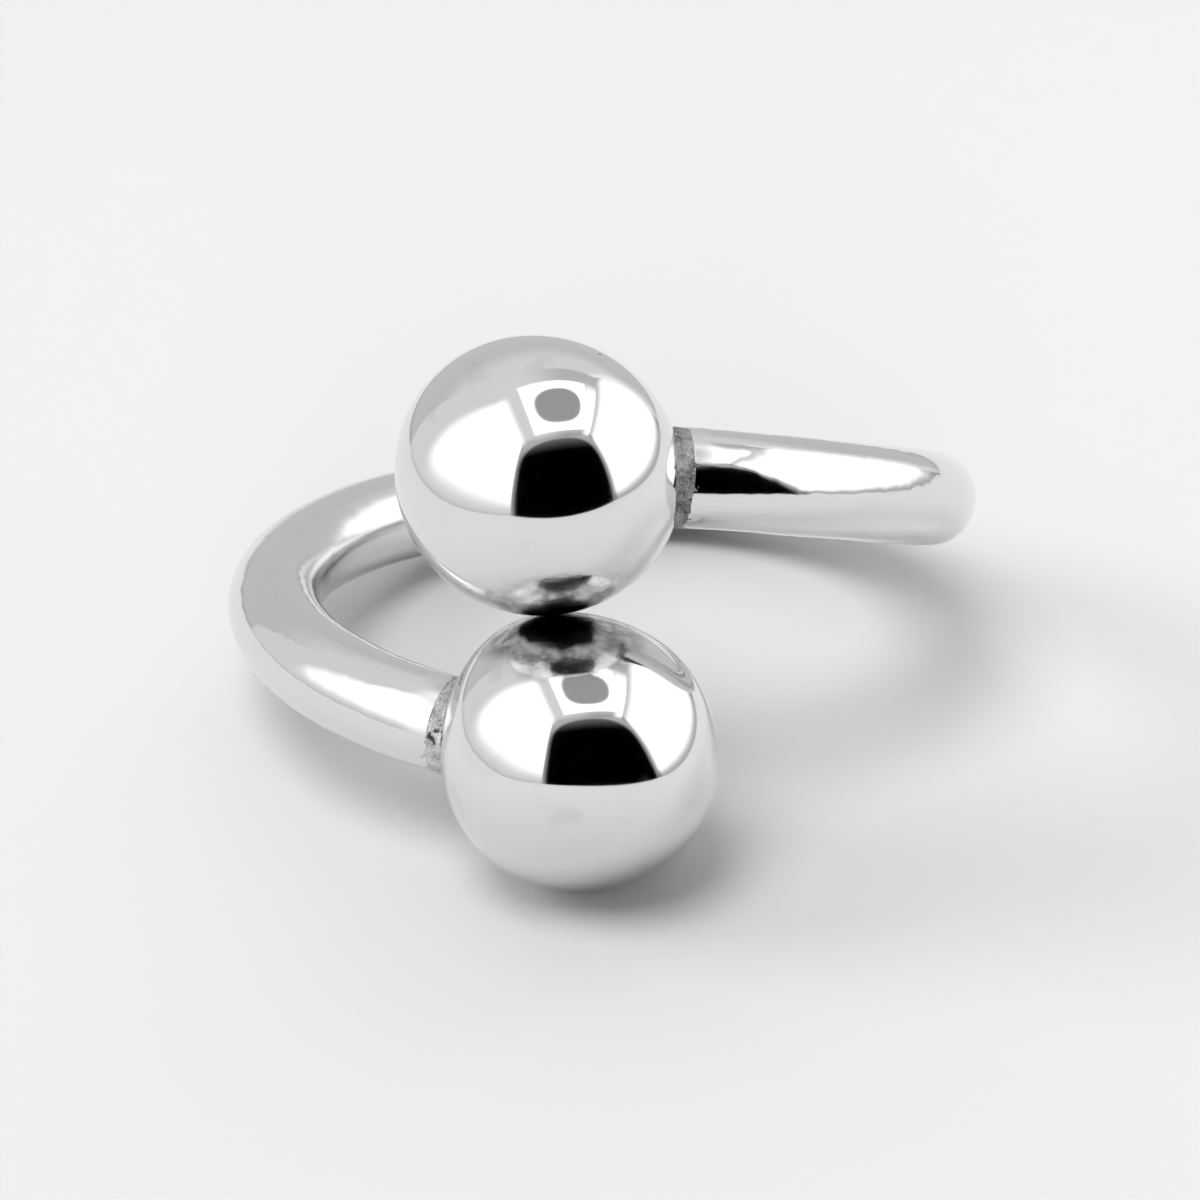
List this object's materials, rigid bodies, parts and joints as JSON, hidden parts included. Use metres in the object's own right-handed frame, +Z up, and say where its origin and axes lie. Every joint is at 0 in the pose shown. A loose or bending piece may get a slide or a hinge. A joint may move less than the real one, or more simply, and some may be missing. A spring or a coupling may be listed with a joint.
{
  "type": "double ball ring",
  "caption": "Polished silver finger ring of round wire that wraps once round the finger and climbs, so that the round beads on its ends sit one above the other at the front.",
  "frame": {"origin": "on the surface that the ring lies on, under the middle of its box", "axes": "+Z up from that surface, -Y towards the beads at the front, +Y towards the back of the band, +X to the right as seen from the front"},
  "size_m": [0.024, 0.0272, 0.0163],
  "materials": {
    "silver": "mirror-polished sterling silver",
    "solder": "rough silver solder, left unpolished in the joint"
  },
  "bodies": {
    "root": {"ring": "silver"}
  },
  "joints": []
}
